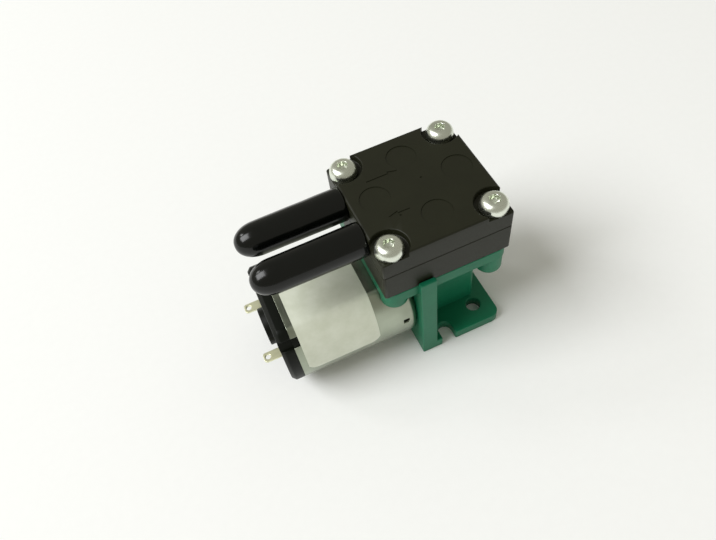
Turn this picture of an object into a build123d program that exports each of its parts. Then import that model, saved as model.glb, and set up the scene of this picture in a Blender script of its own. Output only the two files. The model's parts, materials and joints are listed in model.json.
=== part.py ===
from build123d import *
import os
from math import cos, radians, sin

# Miniature diaphragm air pump. A flat-sided brushed motor turns an eccentric. Its ball bearing and
# rod work a rubber diaphragm under a two-layer head, and two disc valves make the air flow one way.
# Millimetres, +Z up. The origin is on the base plane under the middle of the diaphragm.
# +X points from the motor to the open front of the crankcase, and the hose ports point to -X.

# Motor
MOTOR_DIAMETER = 20.1
MOTOR_FLATS = 15.1
FLAT_EDGE_RADIUS = 1.5
CAN_LENGTH = 20.3
CAN_WALL = 0.8
CAN_FRONT_RADIUS = 1.2
END_CAP_THICKNESS = 2.1
END_CAP_CHAMFER = 0.6
SPIGOT_LENGTH = 1.6
SPIGOT_WALL = 1.0
REAR_BOSS_DIAMETER = 6.4
REAR_BOSS_HEIGHT = 1.0
FRONT_BOSS_DIAMETER = 6.15
FRONT_BOSS_HEIGHT = 1.5
BUSH_DIAMETER = 4.4
BUSH_LENGTH = 2.1
BUSH_RECESS = 0.2
SHAFT_DIAMETER = 2.0
SHAFT_IN_BOSS = 0.4
SHAFT_ROOM = 0.3
KEY_WIDTH = 1.7
KEY_LENGTH = 1.3
KEY_DEPTH = 1.6
KEY_BELOW_CAN = 0.25
KEY_ANGLE = 34.0
KEY_GROOVE_DEPTH = 0.55
LANCE_SIZE = 1.0
LANCE_FROM_FRONT = 1.6
LANCE_ABOVE_AXIS = 0.7

# Motor insides
MAGNET_THICKNESS = 2.4
MAGNET_HALF_ANGLE = 40.0
MAGNET_FROM_FRONT = 3.0
MAGNET_FROM_SPIGOT = 2.7
ARMATURE_ROOM = 0.45
ARMATURE_FROM_FRONT = 4.6
POLE_COUNT = 3
POLE_SLOT = 1.6
POLE_SHOE_THICKNESS = 1.0
POLE_NECK = 2.6
NECK_ROOT = 0.5
CORE_HUB_RADIUS = 1.8
WINDING_OVERHANG = 1.0
WINDING_SIDE = 1.5
WINDING_FROM_HUB = 0.2
WINDING_FROM_SHOE = 0.15
WINDING_EDGE_RADIUS = 0.8
COMMUTATOR_RADIUS = 1.9
COMMUTATOR_LENGTH = 3.0
COMMUTATOR_FROM_CAP = 0.9
RISER_RADIUS = 2.5
RISER_LENGTH = 0.5
RISER_TO_WINDING = 0.3
SEGMENT_GAP = 0.3
SEGMENT_THICKNESS = 0.3

# Terminals and brushes
TERMINAL_SPACING = 10.2
TERMINAL_BELOW_AXIS = 0.75
TERMINAL_WIDTH = 1.7
TERMINAL_THICKNESS = 0.4
TERMINAL_REACH = 2.95
TERMINAL_CORNER_RADIUS = 0.5
EYELET_DIAMETER = 0.9
EYELET_FROM_TIP = 0.75
BRUSH_THICKNESS = 0.25
BRUSH_WIDTH = 1.8
BRUSH_ARM_HEIGHT = 3.4
BRUSH_FOOT_OUT = 0.7
BRUSH_FOOT_IN = 0.9
BRUSH_RISE_IN = 1.2
BRUSH_DROP_OUT = 0.9
BRUSH_CONTACT_TOP = 0.8
BRUSH_CONTACT_FOOT = -1.2
BRUSH_BEND_RADIUS = 0.35

# Rating label, left bare
LABEL_LENGTH = 12.3
LABEL_FROM_REAR = 1.1
LABEL_THICKNESS = 0.1
LABEL_FAR_EDGE = 5.6
LABEL_BELOW_AXIS = 1.15
LABEL_CORNER_RADIUS = 1.8

# Housing
PLATE_THICKNESS = 2.7
HOUSING_WIDTH = 22.7
HEAD_ABOVE_MOTOR = 2.6
EAR_RISE = 0.9
FOOT_THICKNESS = 2.1
FOOT_LENGTH = 14.95
FOOT_CORNER_RADIUS = 1.6
FOOT_HOLE_DIAMETER = 2.5
FOOT_HOLE_SPACING = 15.4
FOOT_HOLE_FROM_FRONT = 3.4
FOOT_SLOT_WIDTH = 2.5
FOOT_SLOT_DEPTH = 2.9
FOOT_SLOT_FROM_PLATE = 1.0
FLANGE_THICKNESS = 2.2
CASE_WIDTH = 11.6
CASE_WALL = 1.2
CASE_LENGTH = 10.0
CASE_EDGE_RADIUS = 1.0
CASE_INSIDE_RADIUS = 1.0
BOSS_DIAMETER = 4.3
BOSS_DEPTH = 5.6
BOSS_OVER_MOTOR_DEPTH = 3.7
RIB_THICKNESS = 1.2
RIB_ROOT = 0.5
FLANGE_CORNER_RADIUS = 1.85

# Crank mechanism, drawn with the rod at the top of its stroke
CRANK_THROW = 0.7
HUB_DIAMETER = 6.6
HUB_LENGTH = 1.95
HUB_ROOM = 0.3
HUB_END_WALL = 0.3
PIN_DIAMETER = 2.0
PIN_SHOULDER_DIAMETER = 2.7
COUNTERWEIGHT_RADIUS = 4.1
COUNTERWEIGHT_THICKNESS = 0.75
COUNTERWEIGHT_TO_PLATE = 0.2
BEARING_OUTSIDE = 5.0
BEARING_WIDTH = 2.3
INNER_RING_WALL = 0.45
OUTER_RING_WALL = 0.45
BALL_DIAMETER = 1.0
BALL_COUNT = 7
SHIELD_THICKNESS = 0.15
SHIELD_GAP = 0.1
GROOVE_SIDES = 8
RETAINER_DIAMETER = 2.8
RETAINER_THICKNESS = 0.4
ROD_WIDTH = 2.6
ROD_RING_WALL = 1.0
ROD_SHANK_TOP = 2.7
ROD_SHANK_FOOT = 4.0
ROD_SHANK_FLARE = 0.8
ROD_FLANGE_DIAMETER = 8.0
ROD_FLANGE_THICKNESS = 0.7

# Diaphragm and its clamp
DIAPHRAGM_THICKNESS = 0.6
BEAD_DIAMETER = 15.2
BEAD_INSIDE = 12.8
BEAD_THICKNESS = 0.8
DIAPHRAGM_BELOW_TOP = 0.1
ROLL_DEPTH = 0.5
ROLL_FLOOR_GAP = 0.15
ROLL_HALF_FLAT = 0.5
DISC_DIAMETER = 6.8
DISC_THICKNESS = 0.7
CLAMP_SCREW_DIAMETER = 1.6
CLAMP_SCREW_HEAD = 2.9
CLAMP_SCREW_HEAD_DEPTH = 0.6
CLAMP_SCREW_LENGTH = 4.5
DRIVE_SLOT_WIDTH = 0.4
DRIVE_SLOT_DEPTH = 0.25
SCREW_TIP_ROOM = 0.2

# Head
HEAD_SIDE = 20.7
BASE_THICKNESS = 5.2
COVER_THICKNESS = 4.2
HEAD_EDGE_CHAMFER = 0.25
HEAD_CORNER_RADIUS = 0.4
GATE_SCOOP_RADIUS = 2.4
GATE_SCOOP_DEPTH = 0.22
GATE_SCOOP_X = -3.3
CHAMBER_DIAMETER = 12.6
CHAMBER_DEPTH = 1.0
SCREW_PITCH = 16.4
SCREW_DIAMETER = 2.2
SCREW_HOLE_ROOM = 0.1
SCREW_LENGTH = 10.0
SCREW_HEAD_DIAMETER = 4.3
SCREW_HEAD_HEIGHT = 1.9
SCREW_HEAD_RISE = 1.0
SCREW_HEAD_CROWN = 2.6
SCREW_RECESS_DIAMETER = 5.9
SCREW_RECESS_DEPTH = 1.15
DRIVE_DEPTH = 0.9
DRIVE_ACROSS = 1.8
DRIVE_SIDES = 6

# Valves
VALVE_DIAMETER = 5.2
VALVE_THICKNESS = 0.5
VALVE_LIFT = 0.5
VALVE_POCKET_DIAMETER = 5.8
VALVE_PORT_DIAMETER = 2.8
SEAL_INSIDE = 6.1
SEAL_WALL = 0.5
SEAL_THICKNESS = 0.5
STOP_RIB_WIDTH = 0.5
STOP_RIB_HEIGHT = 0.4
STOP_RIB_COUNT = 3
STOP_RIB_ROOT = 0.1

# Hose ports and their caps
PORT_SPACING = 7.4
PORT_BELOW_TOP = 2.2
NIPPLE_LENGTH = 9.0
NIPPLE_DIAMETER = 2.7
BARB_DIAMETER = 3.2
BARB_LENGTH = 1.6
BARB_LEAD_DIAMETER = 2.2
PORT_BORE = 1.6
CAP_LENGTH = 17.2
CAP_DIAMETER = 5.4
CAP_TIP_DIAMETER = 5.2
CAP_INSIDE_DEPTH = 13.0

# Motor screws, flat heads sunk in the motor plate
MOTOR_SCREW_SPACING = 10.8
MOTOR_SCREW_DIAMETER = 1.7
MOTOR_SCREW_HEAD = 3.0
MOTOR_SCREW_LENGTH = 4.0
MOTOR_SCREW_HEAD_DEPTH = 0.7

# Clearances
RUNNING = 0.03
SLIP = 0.05
LOOSE = 0.15
CAP_FIT = 0.03
ROD_SIDE_PLAY = 0.15
STROKE_CLEARANCE = 0.3
OVERCUT = 1.0

# Places worked out from the sizes above
HEAD_HALF = HEAD_SIDE / 2
HUB_FRONT_X = -ROD_WIDTH / 2 - ROD_SIDE_PLAY
HUB_BACK_X = HUB_FRONT_X - HUB_LENGTH
PLATE_FRONT_X = HUB_FRONT_X - COUNTERWEIGHT_THICKNESS - COUNTERWEIGHT_TO_PLATE
PLATE_BACK_X = PLATE_FRONT_X - PLATE_THICKNESS
CAN_FRONT_X = PLATE_BACK_X
CAN_REAR_X = CAN_FRONT_X - CAN_LENGTH
CAP_REAR_X = CAN_REAR_X - END_CAP_THICKNESS
MOTOR_RADIUS = MOTOR_DIAMETER / 2
MAGNET_OUTER_RADIUS = MOTOR_RADIUS - CAN_WALL - SLIP
MAGNET_INNER_RADIUS = MAGNET_OUTER_RADIUS - MAGNET_THICKNESS
ARMATURE_RADIUS = min(MOTOR_FLATS / 2 - CAN_WALL, MAGNET_INNER_RADIUS) - ARMATURE_ROOM
AXIS_Z = MOTOR_RADIUS
HOUSING_TOP = AXIS_Z + MOTOR_FLATS / 2 + HEAD_ABOVE_MOTOR
FOOT_FRONT_X = PLATE_BACK_X + FOOT_LENGTH
CASE_FRONT_X = PLATE_FRONT_X + CASE_LENGTH
CASE_INSIDE_WIDTH = CASE_WIDTH - 2 * CASE_WALL
PIN_Z = AXIS_Z + CRANK_THROW
DIAPHRAGM_TOP = HOUSING_TOP - DIAPHRAGM_BELOW_TOP
ROD_TOP = DIAPHRAGM_TOP - DIAPHRAGM_THICKNESS
WELL_FLOOR = ROD_TOP - ROD_FLANGE_THICKNESS - 2 * CRANK_THROW - STROKE_CLEARANCE
DISC_TOP = DIAPHRAGM_TOP + DISC_THICKNESS
BASE_TOP = HOUSING_TOP + BASE_THICKNESS
COVER_TOP = BASE_TOP + COVER_THICKNESS
PORT_Z = COVER_TOP - PORT_BELOW_TOP
SCREW_SEAT = COVER_TOP - SCREW_RECESS_DEPTH
SCREW_TIP = SCREW_SEAT - SCREW_LENGTH
POCKET_DEPTH = VALVE_THICKNESS + VALVE_LIFT + STOP_RIB_HEIGHT
POCKET_FLOOR = BASE_TOP - POCKET_DEPTH
COMMUTATOR_REAR_X = CAN_REAR_X + COMMUTATOR_FROM_CAP
COMMUTATOR_FRONT_X = COMMUTATOR_REAR_X + COMMUTATOR_LENGTH
RISER_FRONT_X = COMMUTATOR_FRONT_X + RISER_LENGTH
ARMATURE_REAR_X = RISER_FRONT_X + RISER_TO_WINDING + WINDING_OVERHANG
ARMATURE_FRONT_X = CAN_FRONT_X - ARMATURE_FROM_FRONT
ARMATURE_LENGTH = ARMATURE_FRONT_X - ARMATURE_REAR_X
MAGNET_FRONT_X = CAN_FRONT_X - MAGNET_FROM_FRONT
MAGNET_REAR_X = CAN_REAR_X + SPIGOT_LENGTH + MAGNET_FROM_SPIGOT
SHAFT_FRONT_X = HUB_FRONT_X - HUB_END_WALL
REAR_BOSS_X = CAP_REAR_X - REAR_BOSS_HEIGHT
SHAFT_REAR_X = REAR_BOSS_X + SHAFT_IN_BOSS
REAR_BUSH_X = REAR_BOSS_X + BUSH_RECESS
TERMINAL_Z = AXIS_Z - TERMINAL_BELOW_AXIS
BRUSH_X = (COMMUTATOR_FRONT_X + COMMUTATOR_REAR_X) / 2
CORNERS = [(i * SCREW_PITCH / 2, j * SCREW_PITCH / 2) for i in (-1, 1) for j in (-1, 1)]


def block(x0, x1, y0, y1, z0, z1):
    """A box between two corners."""
    middle = Pos((x0 + x1) / 2, (y0 + y1) / 2, (z0 + z1) / 2)
    return middle * Box(x1 - x0, y1 - y0, z1 - z0)


def rod_z(diameter, z0, z1, x=0.0, y=0.0):
    """A round bar along Z."""
    bar = Cylinder(diameter / 2, z1 - z0, align=(Align.CENTER, Align.CENTER, Align.MIN))
    return Pos(x, y, z0) * bar


def rod_x(diameter, x0, x1, y=0.0, z=AXIS_Z):
    """A round bar along X."""
    bar = Cylinder(diameter / 2, x1 - x0, align=(Align.CENTER, Align.CENTER, Align.MIN))
    return Pos(x0, y, z) * Rot(0, 90, 0) * bar


def cone_z(bottom_diameter, top_diameter, z0, z1, x=0.0, y=0.0):
    """A tapered round bar along Z."""
    align = (Align.CENTER, Align.CENTER, Align.MIN)
    return Pos(x, y, z0) * Cone(bottom_diameter / 2, top_diameter / 2, z1 - z0, align=align)


def cone_x(rear_diameter, front_diameter, x0, x1, y=0.0, z=AXIS_Z):
    """A tapered round bar along X."""
    align = (Align.CENTER, Align.CENTER, Align.MIN)
    bar = Cone(rear_diameter / 2, front_diameter / 2, x1 - x0, align=align)
    return Pos(x0, y, z) * Rot(0, 90, 0) * bar


def across_motor(x):
    """The plane across the motor at x, with its own axes along Y and Z and its middle on the shaft."""
    return Plane(origin=(x, 0, AXIS_Z), x_dir=(0, 1, 0), z_dir=(1, 0, 0))


def motor_outline(inset):
    """The flat-sided round outline of the motor, drawn in by inset."""
    across = 2 * (MOTOR_RADIUS - inset)
    outline = Circle(across / 2) & Rectangle(across, MOTOR_FLATS - 2 * inset)
    return fillet(outline.vertices(), FLAT_EDGE_RADIUS)


def motor_slug(inset, x0, x1):
    """A solid length of the motor's outline."""
    return extrude(across_motor(x0) * motor_outline(inset), x1 - x0)


def ring_x(inside, outside, x0, x1, y=0.0, z=AXIS_Z):
    """A plain ring along X."""
    return rod_x(outside, x0, x1, y, z) - rod_x(inside, x0, x1, y, z)


def ring_z(inside, outside, z0, z1, x=0.0, y=0.0):
    """A plain ring along Z."""
    return rod_z(outside, z0, z1, x, y) - rod_z(inside, z0, z1, x, y)


def key_angles():
    """Where the end cap's keys lie round the can, in degrees from +Y."""
    return [KEY_ANGLE, 180 - KEY_ANGLE, 180 + KEY_ANGLE, 360 - KEY_ANGLE]


def rim_block(angle, width, depth, x0, x1):
    """A block through the rim of the motor at one angle, depth deep from the can's radius."""
    piece = Box(x1 - x0, depth + OVERCUT, width)
    middle = Pos((x0 + x1) / 2, MOTOR_RADIUS + (OVERCUT - depth) / 2, 0)
    return Pos(0, 0, AXIS_Z) * Rot(angle, 0, 0) * middle * piece


def motor_can():
    """The drawn steel can, open and notched at the rear, with the front bush's boss."""
    can = motor_slug(0, CAN_REAR_X, CAN_FRONT_X)
    front_edges = can.faces().sort_by(Axis.X)[-1].edges()
    can = fillet(front_edges, CAN_FRONT_RADIUS)
    can -= motor_slug(CAN_WALL, CAN_REAR_X, CAN_FRONT_X - CAN_WALL)
    can += rod_x(FRONT_BOSS_DIAMETER, CAN_FRONT_X - CAN_WALL, CAN_FRONT_X + FRONT_BOSS_HEIGHT)
    bush_end = CAN_FRONT_X - CAN_WALL + BUSH_LENGTH
    can -= rod_x(BUSH_DIAMETER, CAN_FRONT_X - CAN_WALL, bush_end)
    can -= rod_x(SHAFT_DIAMETER + 2 * SHAFT_ROOM, bush_end, CAN_FRONT_X + FRONT_BOSS_HEIGHT)
    for angle in key_angles():
        can -= rim_block(angle, KEY_WIDTH, KEY_DEPTH + CAN_WALL, CAN_REAR_X, CAN_REAR_X + KEY_LENGTH)
    for side in (-1, 1):
        z = AXIS_Z + side * MOTOR_SCREW_SPACING / 2
        can -= rod_x(MOTOR_SCREW_DIAMETER, CAN_FRONT_X - CAN_WALL, CAN_FRONT_X, 0, z)
        lance = Box(LANCE_SIZE, 2 * (CAN_WALL + LOOSE), LANCE_SIZE)
        x = CAN_FRONT_X - LANCE_FROM_FRONT - LANCE_SIZE / 2
        can -= Pos(x, side * MOTOR_RADIUS, AXIS_Z + LANCE_ABOVE_AXIS) * lance
    return can


def motor_end_cap():
    """The moulded cap that closes the can: rim, spigot, bush boss and the two terminal slots."""
    cap = motor_slug(0, CAP_REAR_X, CAN_REAR_X)
    rear_edges = cap.faces().sort_by(Axis.X)[0].edges()
    cap = chamfer(rear_edges, END_CAP_CHAMFER)
    fit = CAN_WALL + SLIP
    spigot = motor_slug(fit, CAN_REAR_X, CAN_REAR_X + SPIGOT_LENGTH)
    cap += spigot - motor_slug(fit + SPIGOT_WALL, CAN_REAR_X, CAN_REAR_X + SPIGOT_LENGTH)
    cap += rod_x(REAR_BOSS_DIAMETER, REAR_BOSS_X, CAP_REAR_X)
    bush_front = REAR_BUSH_X + BUSH_LENGTH
    cap -= rod_x(BUSH_DIAMETER, REAR_BUSH_X, bush_front)
    cap -= rod_x(SHAFT_DIAMETER + 2 * SHAFT_ROOM, bush_front, CAN_REAR_X)
    for angle in key_angles():
        cap -= rim_block(angle, KEY_WIDTH, KEY_GROOVE_DEPTH, CAP_REAR_X, CAN_REAR_X)
        key_end = CAN_REAR_X + KEY_LENGTH - SLIP
        key = rim_block(angle, KEY_WIDTH - 2 * SLIP, KEY_DEPTH, CAN_REAR_X, key_end)
        cap += key & motor_slug(KEY_BELOW_CAN, CAN_REAR_X, key_end)
    for side in (-1, 1):
        y = side * TERMINAL_SPACING / 2
        half = TERMINAL_WIDTH / 2
        thick = TERMINAL_THICKNESS / 2
        cap -= block(CAP_REAR_X, CAN_REAR_X, y - half, y + half, TERMINAL_Z - thick, TERMINAL_Z + thick)
    return cap


def bush(rear_x):
    """One sintered bush, a running fit on the shaft."""
    return ring_x(SHAFT_DIAMETER + 2 * RUNNING, BUSH_DIAMETER, rear_x, rear_x + BUSH_LENGTH)


def terminal(side):
    """One flat terminal with a rounded tip and an eyelet, running through the end cap."""
    y = side * TERMINAL_SPACING / 2
    tip_x = CAP_REAR_X - TERMINAL_REACH
    half = TERMINAL_WIDTH / 2
    low = TERMINAL_Z - TERMINAL_THICKNESS / 2
    high = low + TERMINAL_THICKNESS
    strip = block(tip_x, BRUSH_X + BRUSH_WIDTH / 2, y - half, y + half, low, high)
    strip = fillet(strip.edges().filter_by(Axis.Z).group_by(Axis.X)[0], TERMINAL_CORNER_RADIUS)
    return strip - rod_z(EYELET_DIAMETER, low, high, tip_x + EYELET_FROM_TIP, y)


def brush(side):
    """One leaf brush: it lies on its terminal, rises, turns over and bears on the commutator."""
    contact = COMMUTATOR_RADIUS + RUNNING + BRUSH_THICKNESS / 2
    root = TERMINAL_SPACING / 2
    level = TERMINAL_THICKNESS / 2 + BRUSH_THICKNESS / 2 - TERMINAL_BELOW_AXIS
    points = [
        (side * (root + BRUSH_FOOT_OUT), level),
        (side * (root - BRUSH_FOOT_IN), level),
        (side * (root - BRUSH_RISE_IN), BRUSH_ARM_HEIGHT),
        (side * (contact + BRUSH_DROP_OUT), BRUSH_ARM_HEIGHT),
        (side * contact, BRUSH_CONTACT_TOP),
        (side * contact, BRUSH_CONTACT_FOOT),
    ]
    path = FilletPolyline(*points, radius=BRUSH_BEND_RADIUS)
    leaf = across_motor(BRUSH_X - BRUSH_WIDTH / 2) * trace(path, BRUSH_THICKNESS)
    return extrude(leaf, BRUSH_WIDTH)


def magnet(side):
    """One arc magnet against the round side of the can."""
    arc = ring_x(2 * MAGNET_INNER_RADIUS, 2 * MAGNET_OUTER_RADIUS, MAGNET_REAR_X, MAGNET_FRONT_X)
    reach = 2 * MOTOR_RADIUS
    spread = MAGNET_HALF_ANGLE
    corners = [(0, 0)]
    corners += [(side * reach * cos(radians(a)), reach * sin(radians(a))) for a in (-spread, spread)]
    wedge = across_motor(MAGNET_REAR_X) * make_face(Polyline(*corners, close=True))
    return arc & extrude(wedge, MAGNET_FRONT_X - MAGNET_REAR_X)


def motor_shaft():
    """The steel shaft, from the rear bush to the blind bore of the eccentric."""
    return rod_x(SHAFT_DIAMETER, SHAFT_REAR_X, SHAFT_FRONT_X)


def pole_angles():
    """The directions of the armature's poles, in degrees."""
    return [90 + k * 360 / POLE_COUNT for k in range(POLE_COUNT)]


def armature_core():
    """The stack of laminations: a hub and a shoe on a neck for each pole."""
    shoe_inside = ARMATURE_RADIUS - POLE_SHOE_THICKNESS
    core = ring_x(2 * shoe_inside, 2 * ARMATURE_RADIUS, ARMATURE_REAR_X, ARMATURE_FRONT_X)
    core += ring_x(SHAFT_DIAMETER, 2 * CORE_HUB_RADIUS, ARMATURE_REAR_X, ARMATURE_FRONT_X)
    neck_length = shoe_inside - CORE_HUB_RADIUS + 2 * NECK_ROOT
    neck = Pos(0, (CORE_HUB_RADIUS + shoe_inside) / 2, 0) * Box(ARMATURE_LENGTH, neck_length, POLE_NECK)
    slot = Pos(0, ARMATURE_RADIUS, 0) * Box(ARMATURE_LENGTH, 3 * POLE_SHOE_THICKNESS, POLE_SLOT)
    middle = Pos((ARMATURE_REAR_X + ARMATURE_FRONT_X) / 2, 0, AXIS_Z)
    for angle in pole_angles():
        core += middle * Rot(angle, 0, 0) * neck
        core -= middle * Rot(angle + 180 / POLE_COUNT, 0, 0) * slot
    return core


def armature_windings():
    """One coil round each neck, bulging past both ends of the core."""
    coils = []
    inner = CORE_HUB_RADIUS + WINDING_FROM_HUB
    outer = ARMATURE_RADIUS - POLE_SHOE_THICKNESS - WINDING_FROM_SHOE
    depth = outer - inner
    length = ARMATURE_LENGTH + 2 * WINDING_OVERHANG
    across = POLE_NECK + 2 * WINDING_SIDE
    middle_x = (ARMATURE_FRONT_X + ARMATURE_REAR_X) / 2
    envelope = rod_x(2 * outer, middle_x - length / 2, middle_x + length / 2)
    for angle in pole_angles():
        coil = Box(length, depth, across)
        coil = fillet(coil.edges().filter_by(Axis.Y), WINDING_EDGE_RADIUS)
        coil -= Box(ARMATURE_LENGTH + 2 * SLIP, depth, POLE_NECK + 2 * SLIP)
        turn = Pos(middle_x, 0, AXIS_Z) * Rot(angle, 0, 0)
        coils.append(turn * Pos(0, (inner + outer) / 2, 0) * coil & envelope)
    return coils


def commutator():
    """The commutator: a sleeve with its riser collar and the gaps between the copper segments."""
    drum = rod_x(2 * COMMUTATOR_RADIUS, COMMUTATOR_REAR_X, COMMUTATOR_FRONT_X)
    drum += rod_x(2 * RISER_RADIUS, COMMUTATOR_FRONT_X, RISER_FRONT_X)
    drum -= rod_x(SHAFT_DIAMETER, COMMUTATOR_REAR_X, RISER_FRONT_X)
    length = RISER_FRONT_X - COMMUTATOR_REAR_X
    for angle in pole_angles():
        depth = RISER_RADIUS - COMMUTATOR_RADIUS + SEGMENT_THICKNESS
        slot = Pos(0, 0, RISER_RADIUS) * Box(length, SEGMENT_GAP, 2 * depth)
        place = Pos((RISER_FRONT_X + COMMUTATOR_REAR_X) / 2, 0, AXIS_Z)
        drum -= place * Rot(angle + 90, 0, 0) * slot
    return drum


def rating_label():
    """The bare label: a thin film over the top flat, wrapped down the side nearest -Y."""
    start = CAN_REAR_X + LABEL_FROM_REAR
    end = start + LABEL_LENGTH
    film = motor_slug(-LABEL_THICKNESS, start, end) - motor_slug(0, start, end)
    reach = MOTOR_RADIUS + OVERCUT
    top = block(start, end, -reach, LABEL_FAR_EDGE, AXIS_Z, AXIS_Z + reach)
    top = fillet(top.edges().filter_by(Axis.Z).group_by(Axis.Y)[-1], LABEL_CORNER_RADIUS)
    side = block(start, end, -reach, 0, AXIS_Z - LABEL_BELOW_AXIS, AXIS_Z + reach)
    side = fillet(side.edges().filter_by(Axis.Y).group_by(Axis.Z)[0], LABEL_CORNER_RADIUS)
    return film & (top + side)


def foot_plate():
    """The base plate with a plain hole and an open slot in each foot."""
    half = HOUSING_WIDTH / 2
    plate = block(PLATE_BACK_X, FOOT_FRONT_X, -half, half, 0, FOOT_THICKNESS)
    corners = plate.edges().filter_by(Axis.Z).group_by(Axis.X)[-1]
    plate = fillet(corners, FOOT_CORNER_RADIUS)
    slot_x = PLATE_FRONT_X + FOOT_SLOT_FROM_PLATE + FOOT_SLOT_WIDTH / 2
    for side in (-1, 1):
        hole_x = FOOT_FRONT_X - FOOT_HOLE_FROM_FRONT
        y = side * FOOT_HOLE_SPACING / 2
        plate -= rod_z(FOOT_HOLE_DIAMETER, 0, FOOT_THICKNESS, hole_x, y)
        end_y = side * (half - FOOT_SLOT_DEPTH + FOOT_SLOT_WIDTH / 2)
        plate -= rod_z(FOOT_SLOT_WIDTH, 0, FOOT_THICKNESS, slot_x, end_y)
        low, high = sorted((end_y, side * half))
        wide = FOOT_SLOT_WIDTH / 2
        plate -= block(slot_x - wide, slot_x + wide, low, high, 0, FOOT_THICKNESS)
    return plate


def motor_plate():
    """The upright plate that carries the motor, with an ear beside the head at each end."""
    half = HOUSING_WIDTH / 2
    plate = block(PLATE_BACK_X, PLATE_FRONT_X, -half, half, 0, HOUSING_TOP + EAR_RISE)
    inside = HEAD_HALF + LOOSE
    plate -= block(PLATE_BACK_X, PLATE_FRONT_X, -inside, inside, HOUSING_TOP, HOUSING_TOP + EAR_RISE)
    return plate


def crankcase():
    """The outer block of the crankcase between the foot plate and the flange."""
    half = CASE_WIDTH / 2
    case = block(PLATE_FRONT_X, CASE_FRONT_X, -half, half, 0, HOUSING_TOP)
    return fillet(case.edges().filter_by(Axis.Z).group_by(Axis.X)[-1], CASE_EDGE_RADIUS)


def crankcase_hollow():
    """What the mould's core leaves free: the crank space, open at the front, and the rod's well."""
    half = CASE_INSIDE_WIDTH / 2
    hollow = block(PLATE_FRONT_X, CASE_FRONT_X, -half, half, FOOT_THICKNESS, WELL_FLOOR)
    hollow = fillet(hollow.edges().filter_by(Axis.X), CASE_INSIDE_RADIUS)
    well = ROD_FLANGE_DIAMETER + 2 * STROKE_CLEARANCE
    oval = SlotOverall(well + 2 * CRANK_THROW, well, rotation=90)
    hollow += extrude(Pos(0, 0, WELL_FLOOR) * oval, HOUSING_TOP - WELL_FLOOR)
    return hollow


def head_flange():
    """The square flange under the head, with a boss for each head screw."""
    flange = block(-HEAD_HALF, HEAD_HALF, -HEAD_HALF, HEAD_HALF, HOUSING_TOP - FLANGE_THICKNESS, HOUSING_TOP)
    flange = fillet(flange.edges().filter_by(Axis.Z), FLANGE_CORNER_RADIUS)
    for x, y in CORNERS:
        depth = BOSS_DEPTH if x > 0 else BOSS_OVER_MOTOR_DEPTH
        flange += rod_z(BOSS_DIAMETER, HOUSING_TOP - depth, HOUSING_TOP, x, y)
    for side in (-1, 1):
        x = CASE_FRONT_X - CASE_EDGE_RADIUS - RIB_THICKNESS / 2
        low, high = sorted((side * (CASE_WIDTH / 2 - RIB_ROOT), side * SCREW_PITCH / 2))
        bottom = HOUSING_TOP - BOSS_DEPTH
        flange += block(x - RIB_THICKNESS / 2, x + RIB_THICKNESS / 2, low, high, bottom, HOUSING_TOP)
    return flange


def housing():
    """The one moulding that carries everything: feet, motor plate, crankcase and head flange."""
    body = foot_plate() + motor_plate() + crankcase() + head_flange()
    body -= crankcase_hollow()
    body -= rod_z(BEAD_DIAMETER, HOUSING_TOP - BEAD_THICKNESS, HOUSING_TOP)
    dish = HOUSING_TOP - BEAD_THICKNESS - ROLL_DEPTH
    body -= rod_z(BEAD_INSIDE, dish, HOUSING_TOP)
    body -= rod_x(FRONT_BOSS_DIAMETER + 2 * SLIP, PLATE_BACK_X, PLATE_FRONT_X)
    body -= rod_x(HUB_DIAMETER + 2 * HUB_ROOM, HUB_BACK_X - LOOSE, PLATE_FRONT_X)
    body -= motor_slug(-LOOSE, -HEAD_HALF - OVERCUT, PLATE_BACK_X)
    for side in (-1, 1):
        z = AXIS_Z + side * MOTOR_SCREW_SPACING / 2
        body -= rod_x(MOTOR_SCREW_DIAMETER + 2 * SLIP, PLATE_BACK_X, PLATE_FRONT_X, 0, z)
        sunk = PLATE_FRONT_X - MOTOR_SCREW_HEAD_DEPTH
        body -= cone_x(MOTOR_SCREW_DIAMETER, MOTOR_SCREW_HEAD, sunk, PLATE_FRONT_X, 0, z)
    for x, y in CORNERS:
        body -= rod_z(SCREW_DIAMETER, SCREW_TIP - SCREW_TIP_ROOM, HOUSING_TOP, x, y)
    return body


def motor_screws():
    """Two flat-head screws that hold the motor's front to the motor plate."""
    screws = []
    for side in (-1, 1):
        z = AXIS_Z + side * MOTOR_SCREW_SPACING / 2
        tip = PLATE_FRONT_X - MOTOR_SCREW_LENGTH
        neck = PLATE_FRONT_X - MOTOR_SCREW_HEAD_DEPTH
        screw = rod_x(MOTOR_SCREW_DIAMETER, tip, neck, 0, z)
        screw += cone_x(MOTOR_SCREW_DIAMETER, MOTOR_SCREW_HEAD, neck, PLATE_FRONT_X, 0, z)
        slot = Box(2 * DRIVE_SLOT_DEPTH, MOTOR_SCREW_HEAD, DRIVE_SLOT_WIDTH)
        screws.append(screw - Pos(PLATE_FRONT_X, 0, z) * slot)
    return screws


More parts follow.
